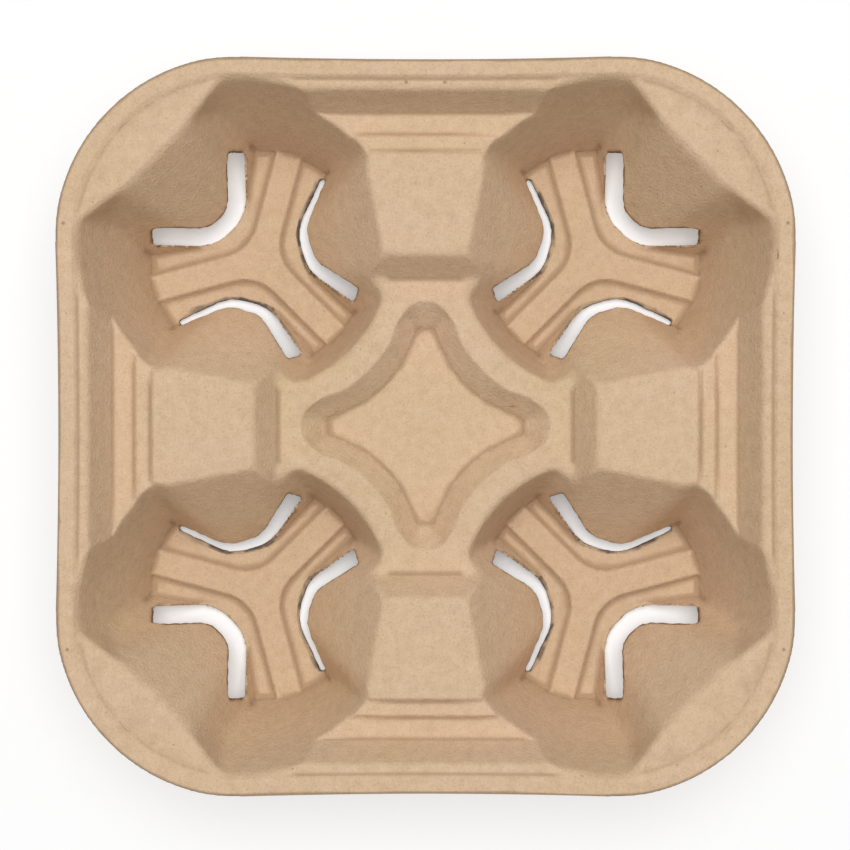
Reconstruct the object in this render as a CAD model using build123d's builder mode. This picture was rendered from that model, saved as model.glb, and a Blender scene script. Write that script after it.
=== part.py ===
from build123d import *
from math import atan2, cos, degrees, radians, sin, tan
import os

os.makedirs("parts", exist_ok=True)

# A carrier for four cups, moulded from paper pulp in one sheet.
# Millimetres. Z is up, the pocket floors rest on Z = 0 and the tray is centred on the Z axis.

# The whole tray
tray_side = 215.0            # over the rim, both ways
tray_corner = 54.0           # corner radius of the rim
tray_height = 45.0           # from the table to the top of the rim
wall = 2.0                   # thickness of the pulp sheet
bend = 3.0                   # radius of the upper face where the sheet bends down from a flat

# The lip round the edge, a little higher than the rim inside it
lip_width = 4.8
lip_step = 1.0
lip_slope = 45.0             # wall angles are from level

# The basin inside the rim, with the ledge as its floor
basin_side = 197.0           # across the top of its walls
basin_corner = 70.0
basin_depth = 10.8           # from the rim down to the ledge
basin_slope = 60.0

# Two low steps up from the ledge to the flat pads between the pockets
step_rise = 1.4
step_slope = 55.0
step_corner = 60.0
outer_step_reach = 85.8      # from the tray centre
inner_step_reach = 80.8

# The sunk middle, with a four-pointed star in its floor
middle_side = 101.0          # across the top of its walls
middle_corner = 12.0
middle_level = 26.0          # height of its floor above the table
middle_slope = 57.0
star_depth = 8.0
star_mouth_reach = 37.2      # from the tray centre to a point of the star
star_mouth_radius = 47.6     # its hollow sides run round the pocket centres
star_mouth_tip = 4.0         # radius that rounds a point
star_floor_reach = 26.5
star_floor_radius = 54.0
star_floor_tip = 2.0

# A pocket: a round room that widens to its mouth
pocket_pitch = 101.0         # from one pocket centre to the next
floor_radius = 33.0
mouth_radius = 48.8          # at the top of the rim
mouth_lean = 2.4             # how far the mouth is set out to the tray corner

# The three flaps that stand in a pocket and hold the cup, each with a flat front and two flat sides
foot_reach = 12.0            # from the pocket centre to the front, at the table
foot_half = 6.2              # half width of the front, at the table
corner_head_reach = 40.0     # the same at the top of the rim
corner_head_half = 14.0
shoulder_sweep = 8.0         # beside its head, angle by which a shoulder runs back to the pocket wall
shoulder_slope = 78.0
saddle_turn = 124.0          # direction of a saddle flap, from the tray corner direction
saddle_head_reach = 44.0
saddle_head_near = 14.5      # half width of its head on the side of the tray centre
saddle_head_far = 25.0       # half width on the side of the rim
flap_sweep = 36.0            # angle by which the sides run back
flap_nose = 11.0             # radius between front and sides

# The raised Y on the floor
rib_width = 9.0
rib_height = 1.5
rib_slope = 60.0
rib_crotch = 12.0            # radius between two arms

# The slits that free the lower edges of the flaps
slit_reach = 13.1            # from the pocket centre to the near side of a slit
slit_nose = 13.0             # radius of the bends in its near side
slit_height = 18.0
corner_slit = 4.6
corner_slit_ring = 33.0      # radius from the pocket centre on which it ends
corner_slit_sweep = 44.0     # angle by which its ends run back
saddle_slit = 2.9
saddle_slit_ring = 31.5
saddle_slit_sweep = 40.0
saddle_slit_skew = 2.2       # turn of its far side, which opens the end near the tray centre

headroom = 5.0               # how far the forms stand past the sheet
pocket_count = 4
corner_direction = 45.0
arm_count = 3
arm_turn = 360 / arm_count   # between two flaps, and between two arms of the Y
pocket_centre = pocket_pitch / 2
rim_level = tray_height - lip_step
ledge_level = rim_level - basin_depth
pad_level = ledge_level + 2 * step_rise
pocket_depth = tray_height - wall
pocket_slope = degrees(atan2(pocket_depth, mouth_radius - floor_radius))
pocket_tilt = degrees(atan2(mouth_lean, pocket_depth))
star_slope = degrees(atan2(star_depth, star_floor_radius - star_mouth_radius))


def aside(skin, slope):
    """Level distance that a sloping wall moves when its face moves by skin."""
    return skin / sin(radians(slope))


def at_foot(skin, slope):
    """Level distance that the foot of a wall moves when wall and floor both move by skin."""
    return skin * tan(radians(slope / 2))


def flap_front(skin, head_reach):
    """The plane of a flap's front, drawn back by the skin."""
    across = Vector(0, 1, 0)
    slant = Vector(head_reach - foot_reach, 0, tray_height)
    front = Plane((foot_reach, 0, 0), x_dir=across, z_dir=across.cross(slant))
    return front.offset(skin)


def flap_body(skin, turn, head_reach, head_left, head_right):
    """A flap: a block cut to its front and its sides, with rounded noses, drawn back by the skin."""
    with BuildPart() as body:
        Box(tray_side, tray_side, tray_height, align=(Align.CENTER, Align.CENTER, Align.MIN))
        split(bisect_by=flap_front(skin, head_reach))
        for hand, head_half in ((1, head_left), (-1, head_right)):
            foot = Vector(foot_reach, hand * foot_half, 0)
            head = Vector(head_reach, hand * head_half, tray_height)
            back = Vector(sin(radians(flap_sweep)), hand * cos(radians(flap_sweep)), 0)
            side = Plane(foot, x_dir=back, z_dir=hand * back.cross(head - foot))
            split(bisect_by=side.offset(skin))
        risers = body.edges().filter_by(lambda edge: edge.bounding_box().size.Z > wall)
        noses = risers.sort_by_distance((0, 0, 0))[:2]
        fillet(noses, flap_nose - skin)
    return body.part.rotate(Axis.Z, corner_direction + turn)


def shoulder_body(skin):
    """The head of a corner flap, which runs out on both sides in a steep shoulder."""
    with BuildPart() as body:
        Box(tray_side, tray_side, tray_height, align=(Align.CENTER, Align.CENTER, Align.MIN))
        split(bisect_by=flap_front(skin, corner_head_reach))
        for hand in (1, -1):
            head = Vector(corner_head_reach, hand * corner_head_half, tray_height)
            along = Vector(sin(radians(shoulder_sweep)), hand * cos(radians(shoulder_sweep)), 0)
            inward = along.cross(Vector(0, 0, -hand))
            fall = inward * cos(radians(shoulder_slope)) - Vector(0, 0, sin(radians(shoulder_slope)))
            side = Plane(head, x_dir=along, z_dir=hand * fall.cross(along))
            split(bisect_by=side.offset(skin))
    return body.part.rotate(Axis.Z, corner_direction)


def pocket_space(skin):
    """The room for one cup: a cone leaning out to the tray corner, less its flaps and the Y on its floor."""
    radius = floor_radius + aside(skin, pocket_slope)
    widening = 1 / tan(radians(pocket_slope))
    floor_level = wall - skin
    to_corner = Location((0, 0, wall), (0, 0, corner_direction))
    leaning = Location((0, 0, 0), (0, pocket_tilt, 0))
    with BuildPart() as room:
        with Locations(to_corner * leaning):
            with Locations((0, 0, -headroom)):
                Cone(
                    radius - headroom * widening,
                    radius + (tray_height + headroom) * widening,
                    tray_height + 2 * headroom,
                    align=(Align.CENTER, Align.CENTER, Align.MIN),
                )
        with BuildSketch(Plane.XY.offset(floor_level)):
            Rectangle(tray_side, tray_side)
        extrude(amount=tray_height - floor_level, mode=Mode.INTERSECT)
        for flap in (
            (0, corner_head_reach, corner_head_half, corner_head_half),
            (saddle_turn, saddle_head_reach, saddle_head_near, saddle_head_far),
            (-saddle_turn, saddle_head_reach, saddle_head_far, saddle_head_near),
        ):
            add(flap_body(skin, *flap), mode=Mode.SUBTRACT)
        add(shoulder_body(skin), mode=Mode.SUBTRACT)
        arm_width = rib_width - 2 * at_foot(skin, rib_slope)
        with BuildSketch(Plane.XY.offset(floor_level)) as ribs:
            with PolarLocations(0, arm_count, start_angle=corner_direction + arm_turn / 2):
                Rectangle(2 * floor_radius, arm_width, align=(Align.MIN, Align.CENTER))
            fillet(ribs.vertices().group_by(lambda corner: corner.center().length)[0], rib_crotch)
        extrude(amount=rib_height, taper=90 - rib_slope, mode=Mode.SUBTRACT)
    return room.part


def star_section(reach, side_radius, tip):
    """One level of the star: a square with a round cut from each corner and its points rounded."""
    with BuildSketch() as section:
        Rectangle(2 * reach, 2 * reach)
        with GridLocations(pocket_pitch, pocket_pitch, 2, 2):
            Circle(side_radius, mode=Mode.SUBTRACT)
        fillet(section.vertices(), tip)
    return section.sketch


def star_space(skin):
    """The room in the star, from the floor of the sunk middle down."""
    drift = aside(skin, star_slope)
    creep = at_foot(skin, star_slope)
    with BuildPart() as recess:
        with BuildSketch(Plane.XY.offset(middle_level)):
            add(star_section(star_mouth_reach + drift, star_mouth_radius - drift, star_mouth_tip + drift))
        with BuildSketch(Plane.XY.offset(middle_level - star_depth - skin)):
            add(star_section(star_floor_reach + creep, star_floor_radius - creep, star_floor_tip + creep))
        loft(ruled=True)
    return recess.part


def sheet_space(skin):
    """All the room above the sheet: above its upper face, or with a skin above its underside."""
    on_top = skin == 0
    with BuildPart() as space:
        with BuildSketch(Plane.XY.offset(tray_height + headroom)):
            Rectangle(2 * tray_side, 2 * tray_side)
        extrude(amount=-headroom - skin)
        # The rim inside the lip
        with BuildSketch(Plane.XY.offset(tray_height)):
            drift = aside(skin, lip_slope)
            rim_side = tray_side - 2 * lip_width + 2 * drift
            RectangleRounded(rim_side, rim_side, tray_corner - lip_width + drift)
        extrude(amount=-lip_step - skin, taper=90 - lip_slope)
        # The basin, and the two steps that stand on its floor
        with BuildSketch(Plane.XY.offset(rim_level)):
            drift = aside(skin, basin_slope)
            RectangleRounded(basin_side + 2 * drift, basin_side + 2 * drift, basin_corner + drift)
        extrude(amount=-basin_depth - skin, taper=90 - basin_slope)
        if on_top:
            fillet(space.edges(Select.LAST).group_by(Axis.Z)[-1], bend)
        creep = at_foot(skin, step_slope)
        with BuildSketch(Plane.XY.offset(ledge_level - skin)):
            RectangleRounded(2 * (outer_step_reach - creep), 2 * (outer_step_reach - creep), step_corner)
        extrude(amount=step_rise, taper=90 - step_slope, mode=Mode.SUBTRACT)
        with BuildSketch(Plane.XY.offset(ledge_level + step_rise - skin)):
            RectangleRounded(2 * (inner_step_reach - creep), 2 * (inner_step_reach - creep), step_corner)
        extrude(amount=step_rise, taper=90 - step_slope, mode=Mode.SUBTRACT)
        # The sunk middle and its star
        with BuildSketch(Plane.XY.offset(pad_level)):
            drift = aside(skin, middle_slope)
            RectangleRounded(middle_side + 2 * drift, middle_side + 2 * drift, middle_corner + drift)
        extrude(amount=middle_level - skin - pad_level, taper=90 - middle_slope)
        if on_top:
            fillet(space.edges(Select.LAST).group_by(Axis.Z)[-1], bend)
        add(star_space(skin))
        # The four pockets
        with PolarLocations(0, pocket_count):
            with Locations((pocket_centre, pocket_centre, 0)):
                add(pocket_space(skin))
    return space.part


def flap_outline(set_back, turn, sweep):
    """The foot of a flap from above, set back from the near side of its slit."""
    reach = slit_reach + set_back
    half = foot_half - set_back * tan(radians(sweep / 2))
    back_x = reach + tray_side * sin(radians(sweep))
    back_y = half + tray_side * cos(radians(sweep))
    with BuildSketch() as outline:
        with BuildLine():
            Polyline((reach, -half), (reach, half), (back_x, back_y), (back_x, -back_y), close=True)
        make_face()
        fillet(outline.vertices().group_by(Axis.X)[0], slit_nose - set_back)
    return outline.sketch.rotate(Axis.Z, corner_direction + turn)


def slit_cutters():
    """The three slits of one pocket, each a band along the foot of a flap."""
    with BuildPart() as cutters:
        for turn, sweep, width, skew, ring in (
            (0, corner_slit_sweep, corner_slit, 0, corner_slit_ring),
            (arm_turn, saddle_slit_sweep, saddle_slit, -saddle_slit_skew, saddle_slit_ring),
            (-arm_turn, saddle_slit_sweep, saddle_slit, saddle_slit_skew, saddle_slit_ring),
        ):
            with BuildSketch():
                add(flap_outline(0, turn, sweep))
                add(flap_outline(width, turn + skew, sweep), mode=Mode.SUBTRACT)
                Circle(ring, mode=Mode.INTERSECT)
            extrude(amount=slit_height)
    return cutters.part


with BuildPart() as carrier:
    with BuildSketch():
        RectangleRounded(tray_side, tray_side, tray_corner)
    extrude(amount=tray_height)
    add(sheet_space(wall), mode=Mode.INTERSECT)
    add(sheet_space(0), mode=Mode.SUBTRACT)
    with PolarLocations(0, pocket_count):
        with Locations((pocket_centre, pocket_centre, 0)):
            add(slit_cutters(), mode=Mode.SUBTRACT)

carrier.part.label = "carrier"
export_step(carrier.part, "parts/carrier.step")
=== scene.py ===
import math

import bpy
import numpy as np
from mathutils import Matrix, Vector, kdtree, noise


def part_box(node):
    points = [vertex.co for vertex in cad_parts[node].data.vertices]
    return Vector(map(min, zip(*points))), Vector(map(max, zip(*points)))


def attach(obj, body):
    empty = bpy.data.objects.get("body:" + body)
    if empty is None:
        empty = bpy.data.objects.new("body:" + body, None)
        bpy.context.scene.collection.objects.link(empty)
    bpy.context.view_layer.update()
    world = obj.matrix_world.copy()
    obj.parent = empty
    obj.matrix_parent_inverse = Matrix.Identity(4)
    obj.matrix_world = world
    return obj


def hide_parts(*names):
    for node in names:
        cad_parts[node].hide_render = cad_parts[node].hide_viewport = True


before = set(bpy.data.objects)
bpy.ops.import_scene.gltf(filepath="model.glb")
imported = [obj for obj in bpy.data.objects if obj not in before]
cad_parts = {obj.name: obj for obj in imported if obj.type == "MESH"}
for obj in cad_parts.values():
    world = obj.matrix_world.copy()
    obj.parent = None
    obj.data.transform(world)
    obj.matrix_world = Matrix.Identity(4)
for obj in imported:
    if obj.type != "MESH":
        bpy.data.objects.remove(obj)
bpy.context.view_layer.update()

# The tray
# One sheet of paper pulp, drawn wet onto a wire screen, pressed and dried. The bends come out soft,
# the long sides draw in a little as they dry, and the edges of the slits are torn, with loose fibres.
grain = 0.0005
triangle_limit = 195000
low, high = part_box("carrier")
half_side = high.x

blank = bpy.data.objects.new("blank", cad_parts["carrier"].data.copy())
bpy.context.scene.collection.objects.link(blank)
voxels = blank.modifiers.new("grain", "REMESH")
voxels.mode = "VOXEL"
voxels.voxel_size = grain
sheet = bpy.data.meshes.new_from_object(blank.evaluated_get(bpy.context.evaluated_depsgraph_get()))
bpy.data.objects.remove(blank)

count = len(sheet.vertices)
points = np.empty(count * 3)
sheet.vertices.foreach_get("co", points)
points = points.reshape(-1, 3)
pairs = np.empty(len(sheet.edges) * 2, dtype=np.int64)
sheet.edges.foreach_get("vertices", pairs)
ends = np.concatenate([pairs[0::2], pairs[1::2]])
others = np.concatenate([pairs[1::2], pairs[0::2]])
neighbours = np.bincount(ends, minlength=count)


def spread(values):
    """The mean over each vertex's neighbours."""
    return np.bincount(ends, weights=values[others], minlength=count) / neighbours


def relax(weight, rounds):
    """Moves the vertices that have a weight towards the mean of their neighbours."""
    moving = np.flatnonzero(weight)
    row = np.zeros(count, dtype=np.int64)
    row[moving] = np.arange(len(moving))
    used = weight[ends] != 0
    rows, sources = row[ends[used]], others[used]
    for step in range(rounds):
        for axis in range(3):
            total = np.bincount(rows, weights=points[sources, axis], minlength=len(moving))
            points[moving, axis] += weight[moving] * (total / neighbours[moving] - points[moving, axis])


def surface_normals():
    """The normal at each vertex, after the moved points are put back into the mesh."""
    sheet.vertices.foreach_set("co", points.ravel())
    sheet.update()
    directions = np.empty(count * 3)
    sheet.vertices.foreach_get("normal", directions)
    return directions.reshape(-1, 3)


def rise(values, start, end):
    """Goes smoothly from 0 at start to 1 at end."""
    part = np.clip((values - start) / (end - start), 0, 1)
    return part * part * (3 - 2 * part)


# The points of the star in the sunk middle are round, and its floor reaches far into them
star_point = 0.0372
star_top = 0.026
star_depth = 0.008
point_half = 0.007
point_end = 1.15 * star_point
push_start = 0.40 * star_point
push_full = 0.71 * star_point
round_start = 0.80 * star_point
wide_start = 0.60 * star_point
wide_full = 0.85 * star_point
widening = 0.20
rounding = 60.0
floor_push = 0.0027
plan = np.abs(points[:, :2])
off_axis = plan.min(axis=1)
along_axis = plan.max(axis=1)
beside = 1 - rise(off_axis, point_half, 2 * point_half)
beside *= 1 - rise(along_axis, star_point, point_end)
sunk = np.clip((star_top - points[:, 2]) / star_depth, 0, 1)
push = floor_push * sunk * rise(along_axis, push_start, push_full)
push -= rounding * off_axis ** 2 * rise(along_axis, round_start, star_point)
rows = np.arange(count)
outward = plan.argmax(axis=1)
points[rows, outward] += np.sign(points[rows, outward]) * push * beside
points[rows, 1 - outward] *= 1 + widening * beside * rise(along_axis, wide_start, wide_full)

# All edges are eased without thinning the sheet
ease_rounds = 5
ease_step = 0.50
restore_step = -0.52
for step in (ease_step, restore_step) * ease_rounds:
    relax(np.full(count, step), 1)

# The cut edges of the slits stand upright, low down in a pocket. The rim's edge lies along the outline.
pocket_centre = 0.0505
slit_reach = 0.036
slit_top = 0.020
upright_slope = 0.34
edge_rings = 9
ring_share = 0.95
corner = 0.054
normals = surface_normals()
facing = np.abs(normals[:, 2])
from_pocket = np.hypot(np.abs(points[:, 0]) - pocket_centre, np.abs(points[:, 1]) - pocket_centre)
to_corner = (np.abs(points[:, :2]) - pocket_centre).sum(axis=1) / math.sqrt(2)
cut = 1 - rise(facing, upright_slope / 2, upright_slope)
slit_edge = cut * (points[:, 2] < slit_top) * (from_pocket < slit_reach)
rim_gap = corner - np.hypot(*np.maximum(np.abs(points[:, :2]) - (half_side - corner), 0).T)
near_slit = slit_edge.copy()
for step in range(edge_rings):
    near_slit = np.maximum(near_slit, ring_share * spread(near_slit))

# The walls of a pocket flow into each other, and their upper edges are round
wall_rounds = 70
crest_rounds = 30
knuckle_rounds = 60
wall_foot = 0.005
inner_reach = 0.046
outer_reach = 0.056
shoulder_start = 0.020
shoulder_full = 0.030
saddle_half = 0.014
middle_wall_place = 0.047
middle_wall_half = 0.007
knuckle = (0.0144, 0.0400)
knuckle_size = 0.007
knuckle_foot = 0.012
knuckle_top = 0.016
steep_facing = 0.60
level_facing = 0.85
steep_rings = 4
steep = 1 - rise(facing, steep_facing, level_facing)
for step in range(steep_rings):
    steep = spread(steep)
off_axis = np.abs(points[:, :2]).min(axis=1)
along_axis = np.abs(points[:, :2]).max(axis=1)
reach = inner_reach + (outer_reach - inner_reach) * rise(to_corner, shoulder_start, shoulder_full)
in_pocket = rise(points[:, 2], wall_foot, 2 * wall_foot) * (1 - rise(near_slit, 0.05, 0.4))
in_pocket *= 1 - rise(from_pocket / reach, 0.92, 1)
relax(ease_step * in_pocket * steep * rise(off_axis, saddle_half, 1.4 * saddle_half), wall_rounds)
middle_wall = np.abs(along_axis - middle_wall_place) < middle_wall_half
middle_wall = middle_wall * (1 - rise(off_axis, 0.7 * saddle_half, saddle_half))
relax(ease_step * in_pocket * 4 * steep * (1 - steep) * (1 - middle_wall), crest_rounds)
from_knuckle = np.hypot(off_axis - knuckle[0], along_axis - knuckle[1])
high_up = rise(points[:, 2], knuckle_foot, knuckle_top) * (1 - middle_wall)
relax(ease_step * high_up * (1 - rise(from_knuckle, 0.4 * knuckle_size, knuckle_size)), knuckle_rounds)

# The slits are torn: uneven edges, and the floor's edge worn to a slant
tear_depth = 0.00022
tear_length = 0.0022
tear_seed = 1
slant = 0.0007
floor_top = 0.0035
torn_from = 0.3
normals = surface_normals()
from_middle = np.sign(points[:, :2]) * (np.abs(points[:, :2]) - pocket_centre)
floor_edge = slit_edge * ((normals[:, :2] * from_middle).sum(axis=1) > 0)
points[:, :2] -= slant * (floor_edge * rise(points[:, 2], 0, floor_top))[:, None] * normals[:, :2]
noise.seed_set(tear_seed)
for i in np.flatnonzero(near_slit > torn_from):
    points[i] += tear_depth * near_slit[i] * np.array(noise.noise_vector(Vector(points[i]) / tear_length))

# Slow waves of a dried sheet, and sides that draw in between the corners
wave_height = 0.0003
wave_length = 0.030
side_draw = 0.0012
drawn_half = 0.6 * half_side
drawn_start = 0.85 * half_side
for i in range(count):
    points[i, 2] += wave_height * noise.noise(Vector(points[i]) / wave_length) * points[i, 2] / high.z
for across, along in ((0, 1), (1, 0)):
    middle = np.clip(1 - (points[:, along] / drawn_half) ** 2, 0, 1)
    edge = rise(np.abs(points[:, across]), drawn_start, half_side)
    points[:, across] -= np.sign(points[:, across]) * side_draw * middle * edge
points[:, 2] = np.maximum(points[:, 2], low.z)

# Creases are where the upper face folds in, and get painted shade. The floor's slit edges get painted shade
# as a dark line, most towards their outer ends.
crease_start = 0.000005
crease_full = 0.000030
crease_rings = 2
upper_side = 0.2
dark_start = -0.022
dark_full = -0.008
dark_end = 0.008
dark_gone = 0.011
least_dark = 0.4
end_start = 0.0290
end_full = 0.0315
far_off = 0.003
normals = surface_normals()
hollow = sum(normals[:, axis] * (spread(points[:, axis]) - points[:, axis]) for axis in range(3))
for step in range(crease_rings):
    hollow = spread(hollow)
crease_shade = rise(hollow, crease_start, crease_full) * (normals[:, 2] > upper_side)
slit_shade = 1 - rise(to_corner, dark_end, dark_gone)
slit_shade *= least_dark + (1 - least_dark) * rise(to_corner, dark_start, dark_full)
floor_gap = np.full(count, far_off)
cut_points = np.flatnonzero(floor_edge > 0.5)
cut_finder = kdtree.KDTree(len(cut_points))
for i in cut_points:
    cut_finder.insert(points[i], i)
cut_finder.balance()
for i in np.flatnonzero((near_slit > 0.01) & (points[:, 2] < 2 * floor_top)):
    floor_gap[i] = min(far_off, cut_finder.find(points[i])[2])
slit_end = near_slit * rise(from_pocket, end_start, end_full)
traces = {"slit_shade": slit_shade, "flap_edge": slit_edge - floor_edge, "frayed": near_slit}
traces |= {"slit_end": slit_end, "crease_shade": crease_shade, "floor_gap": floor_gap, "rim_gap": rim_gap}
for name, values in traces.items():
    layer = sheet.attributes.new(name, "FLOAT", "POINT")
    layer.data.foreach_set("value", values.astype(np.float32))
sheet.update()
sheet.shade_smooth()
tray = bpy.data.objects.new("tray", sheet)
bpy.context.scene.collection.objects.link(tray)
thin = tray.modifiers.new("fewer faces", "DECIMATE")
thin.ratio = min(1.0, triangle_limit / (2 * len(sheet.polygons)))

pulp = bpy.data.materials.new("pulp")
pulp.use_nodes = True
tree = pulp.node_tree
shader = tree.nodes["Principled BSDF"]
shader.inputs["Roughness"].default_value = 0.95
shader.inputs["Specular IOR Level"].default_value = 0.12


def node(kind, inputs, **settings):
    """Adds a node. An input is a constant, or the output of another node that is linked to it."""
    made = tree.nodes.new(kind)
    for setting, value in settings.items():
        setattr(made, setting, value)
    for socket, value in inputs.items():
        if isinstance(value, bpy.types.NodeSocket):
            tree.links.new(value, made.inputs[socket])
        else:
            made.inputs[socket].default_value = value
    return made


def noise_field(scale, detail, stretch=(1, 1, 1), turn=(0, 0, 0)):
    """Noise on the tray's own coordinates, in features per metre, which may be drawn out one way."""
    place = node("ShaderNodeMapping", {"Vector": where, "Scale": stretch, "Rotation": turn})
    field = node("ShaderNodeTexNoise", {"Vector": place.outputs["Vector"], "Scale": scale, "Detail": detail})
    return field.outputs["Fac"]


def levels(field, low_in, high_in, low_out, high_out):
    """Stretches a field to new levels."""
    spans = {"From Min": low_in, "From Max": high_in, "To Min": low_out, "To Max": high_out}
    return node("ShaderNodeMapRange", {"Value": field, **spans}).outputs["Result"]


def math_node(operation, first, second):
    """One sum of two values."""
    return node("ShaderNodeMath", {0: first, 1: second}, operation=operation).outputs[0]


def tinted(colour, tint, amount):
    """Mixes a tint into a colour."""
    factor, first, second, result = 0, 6, 7, 2
    made = node("ShaderNodeMix", {factor: amount, first: colour, second: tint}, data_type="RGBA")
    return made.outputs[result]


def trace(name):
    """One of the masks stored on the mesh: traces that the making left, and places where shade is painted.
    """
    return node("ShaderNodeAttribute", {}, attribute_name=name).outputs["Fac"]


where = node("ShaderNodeTexCoord", {}).outputs["Object"]
plain = (0.665, 0.479, 0.314, 1)
rosy = (0.685, 0.483, 0.325, 1)
straw = (0.64, 0.468, 0.292, 1)
pale = (0.80, 0.63, 0.45, 1)
brown = (0.34, 0.215, 0.125, 1)
umber = (0.16, 0.10, 0.06, 1)
shade_dark = (0.075, 0.06, 0.05, 1)
ochre = (0.53, 0.31, 0.14, 1)

# Slow changes of tone, then blotches of finer and coarser pulp
tone = tinted(straw, rosy, levels(noise_field(28, 2), 0.35, 0.65, 0, 1))
colour = tinted(plain, tone, 0.6)
blotches = noise_field(330, 3)
colour = tinted(colour, brown, levels(blotches, 0.50, 0.75, 0, 0.16))
colour = tinted(colour, pale, levels(blotches, 0.50, 0.25, 0, 0.24))

# Fibres lie in every direction: three noises, each drawn out along another line
fibres = noise_field(1500, 3, stretch=(1, 0.3, 1), turn=(0, 0, 0.4))
for turn in (1.5, 2.6):
    crossing = noise_field(1500, 3, stretch=(1, 0.3, 1), turn=(0, 0, turn))
    fibres = math_node("MAXIMUM", fibres, crossing)
grit = noise_field(1900, 2)
colour = tinted(colour, pale, levels(fibres, 0.58, 0.80, 0, 0.36))
colour = tinted(colour, brown, levels(grit, 0.52, 0.80, 0, 0.44))

# Specks of bark: a few cells have a small dark spot
specks = node("ShaderNodeTexVoronoi", {"Vector": where, "Scale": 260.0})
spot = levels(specks.outputs["Distance"], 0.05, 0.10, 1, 0)
draws = node("ShaderNodeSeparateColor", {"Color": specks.outputs["Color"]}).outputs
chosen = levels(draws["Red"], 0.86, 0.95, 0, 0.7)
colour = tinted(colour, brown, math_node("MULTIPLY", spot, chosen))

# Marks of the mould's pins on the rim, alike on both halves
pin_radius = 0.0007
pins = ((0.0056, 0.0998, 0), (0.1048, 0.0590, 0), (0.1038, -0.0645, 0))
parts = node("ShaderNodeSeparateXYZ", {"Vector": where}).outputs
mirrored = node("ShaderNodeMath", {0: parts["X"]}, operation="ABSOLUTE").outputs[0]
folded = node("ShaderNodeCombineXYZ", {"X": mirrored, "Y": parts["Y"]}).outputs[0]
for pin in pins:
    away = node("ShaderNodeVectorMath", {0: folded, 1: pin}, operation="DISTANCE").outputs["Value"]
    colour = tinted(colour, umber, levels(away, 0.4 * pin_radius, pin_radius, 0.55, 0))

# Painted shade: the pocket floors are tinted darker the deeper they lie
depth_shade = levels(parts["Z"], 0.004, 0.020, 0.15, 0)
colour = tinted(colour, brown, depth_shade)

# Creases get painted shade. Torn edges are ochre where the sheet was pulled thin. Painted shade also darkens
# the cut faces, a line along the floor's slit edges and a thin line along the rim's edge.
colour = tinted(colour, brown, levels(trace("crease_shade"), 0, 1, 0, 0.65))
patches = levels(noise_field(240, 2), 0.46, 0.62, 0.1, 0.7)
colour = tinted(colour, ochre, math_node("MULTIPLY", levels(trace("frayed"), 0.2, 0.9, 0, 0.7), patches))
colour = tinted(colour, brown, levels(trace("slit_end"), 0.15, 0.8, 0, 0.75))
# Painted shade in the cut: the flaps' cut faces are darkened
colour = tinted(colour, umber, levels(trace("flap_edge"), 0.4, 0.95, 0, 0.55))
# Painted shade: a broken dark line along the floor's slit edges, strongest towards their outer ends
broken = levels(noise_field(160, 2), 0.40, 0.55, 0.35, 1)
broken = math_node("MULTIPLY", broken, trace("slit_shade"))
dark_line = levels(trace("floor_gap"), 0.0008, 0.0014, 0.9, 0)
colour = tinted(colour, shade_dark, math_node("MULTIPLY", dark_line, broken))
# Painted shade: a thin dark line along the rim's edge
colour = tinted(colour, umber, levels(trace("rim_gap"), 0.0005, 0.0011, 0.55, 0))
tree.links.new(colour, shader.inputs["Base Color"])

# Felted surface: lumps of pulp under a fine nap
lumps = node("ShaderNodeBump", {"Height": noise_field(1200, 3), "Strength": 0.55, "Distance": 0.0005})
nap = node("ShaderNodeBump", {"Strength": 0.25, "Distance": 0.0002, "Normal": lumps.outputs["Normal"]})
tree.links.new(math_node("ADD", fibres, grit), nap.inputs["Height"])
tree.links.new(nap.outputs["Normal"], shader.inputs["Normal"])
sheet.materials.clear()
sheet.materials.append(pulp)

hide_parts("carrier")
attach(tray, "root")

# The floor
# A white table that glows as painted light when seen by the camera: a little under the tray, so it is greyer
# where it is seen through the slits, and strongly round the tray, where it is nearly pure white with most of
# the tray's shadow washed out.
floor_side = 4.0
shade_glow = 0.18
open_glow = 0.62
bpy.ops.mesh.primitive_plane_add(size=floor_side, location=(0, 0, low.z))
floor = bpy.context.object
floor.name = "floor"
table_white = bpy.data.materials.new("white table")
table_white.use_nodes = True
table = table_white.node_tree
table_shader = table.nodes["Principled BSDF"]
table_shader.inputs["Base Color"].default_value = (0.98, 0.98, 0.985, 1)
table_shader.inputs["Roughness"].default_value = 1.0
table_shader.inputs["Specular IOR Level"].default_value = 0.0
white = table.nodes.new("ShaderNodeEmission")
rays = table.nodes.new("ShaderNodeLightPath").outputs
seen = rays["Is Camera Ray"]
for kind in ("Is Glossy Ray", "Is Transmission Ray"):
    either = table.nodes.new("ShaderNodeMath")
    either.operation = "MAXIMUM"
    table.links.new(seen, either.inputs[0])
    table.links.new(rays[kind], either.inputs[1])
    seen = either.outputs[0]
way_out = table.nodes.new("ShaderNodeVectorMath")
way_out.operation = "LENGTH"
table.links.new(table.nodes.new("ShaderNodeTexCoord").outputs["Object"], way_out.inputs[0])
# Painted light: the table's glow is stronger round the tray than under it
amount = table.nodes.new("ShaderNodeMapRange")
amount.inputs["From Min"].default_value = 0.95 * half_side
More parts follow.
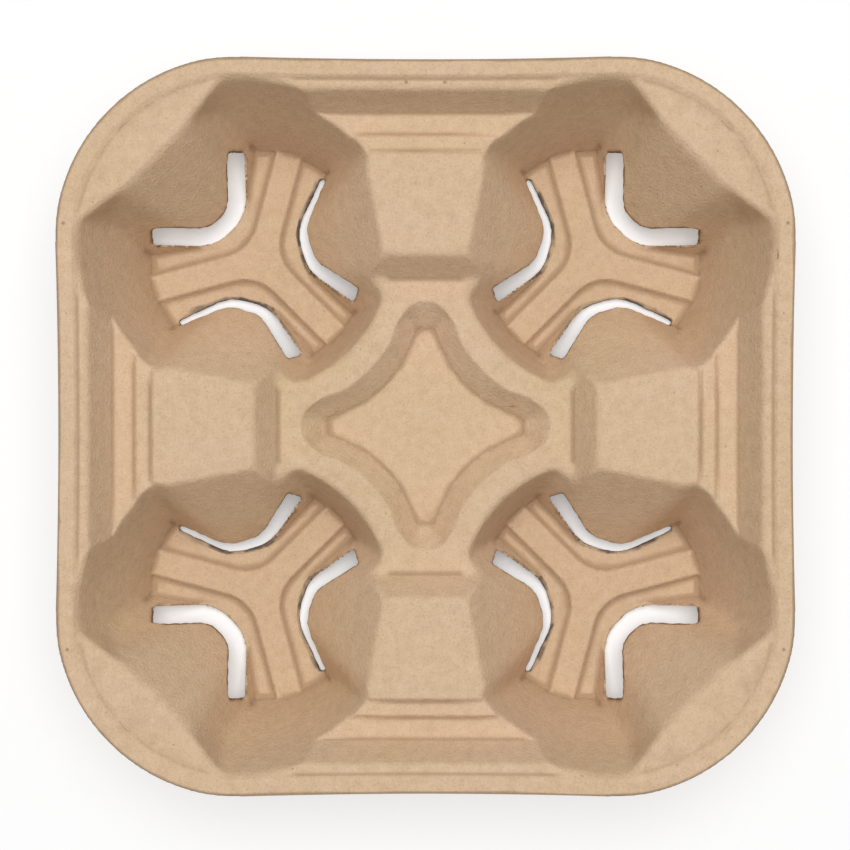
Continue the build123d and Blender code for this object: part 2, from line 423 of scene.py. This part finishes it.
amount.inputs["From Max"].default_value = 1.05 * half_side
amount.inputs["To Min"].default_value = shade_glow
amount.inputs["To Max"].default_value = open_glow
table.links.new(way_out.outputs["Value"], amount.inputs["Value"])
share = table.nodes.new("ShaderNodeMath")
share.operation = "MULTIPLY"
table.links.new(seen, share.inputs[0])
table.links.new(amount.outputs["Result"], share.inputs[1])
blend = table.nodes.new("ShaderNodeMixShader")
table.links.new(share.outputs[0], blend.inputs["Fac"])
table.links.new(table_shader.outputs["BSDF"], blend.inputs[1])
table.links.new(white.outputs["Emission"], blend.inputs[2])
table.links.new(blend.outputs["Shader"], table.nodes["Material Output"].inputs["Surface"])
floor.data.materials.append(table_white)

# The light
# A large soft lamp overhead, set a little to the far side, and an even white surround.
lamp_height = 2.2
lamp_side = 1.8
lamp_offset = 0.43
lamp_power = 49.6
surround = 0.19

lamp = bpy.data.lights.new("overhead lamp", "AREA")
lamp.size = lamp_side
lamp.energy = lamp_power
lamp_object = bpy.data.objects.new("overhead lamp", lamp)
lamp_object.location = (0, lamp_offset, lamp_height)
lamp_object.rotation_euler = (-math.atan2(lamp_offset, lamp_height), 0, 0)
bpy.context.scene.collection.objects.link(lamp_object)

world = bpy.data.worlds.new("surround")
world.use_nodes = True
world.node_tree.nodes["Background"].inputs["Color"].default_value = (1, 1, 1, 1)
world.node_tree.nodes["Background"].inputs["Strength"].default_value = surround
bpy.context.scene.world = world

# The camera
# It looks straight down from well above the rim, leaning a little to the far side.
camera_distance = 0.700
camera_tilt = math.radians(0.6)
view_width = 0.246
view_centre = Vector((-0.00015, 0.0006, high.z))

camera = bpy.data.cameras.new("camera")
camera.lens = camera.sensor_width * camera_distance / view_width
camera_object = bpy.data.objects.new("camera", camera)
backward = Vector((0, math.sin(camera_tilt), math.cos(camera_tilt)))
camera_object.location = view_centre + camera_distance * backward
camera_object.rotation_euler = (-camera_tilt, 0, 0)
bpy.context.scene.collection.objects.link(camera_object)
bpy.context.scene.camera = camera_object
bpy.context.scene.view_settings.view_transform = "Standard"
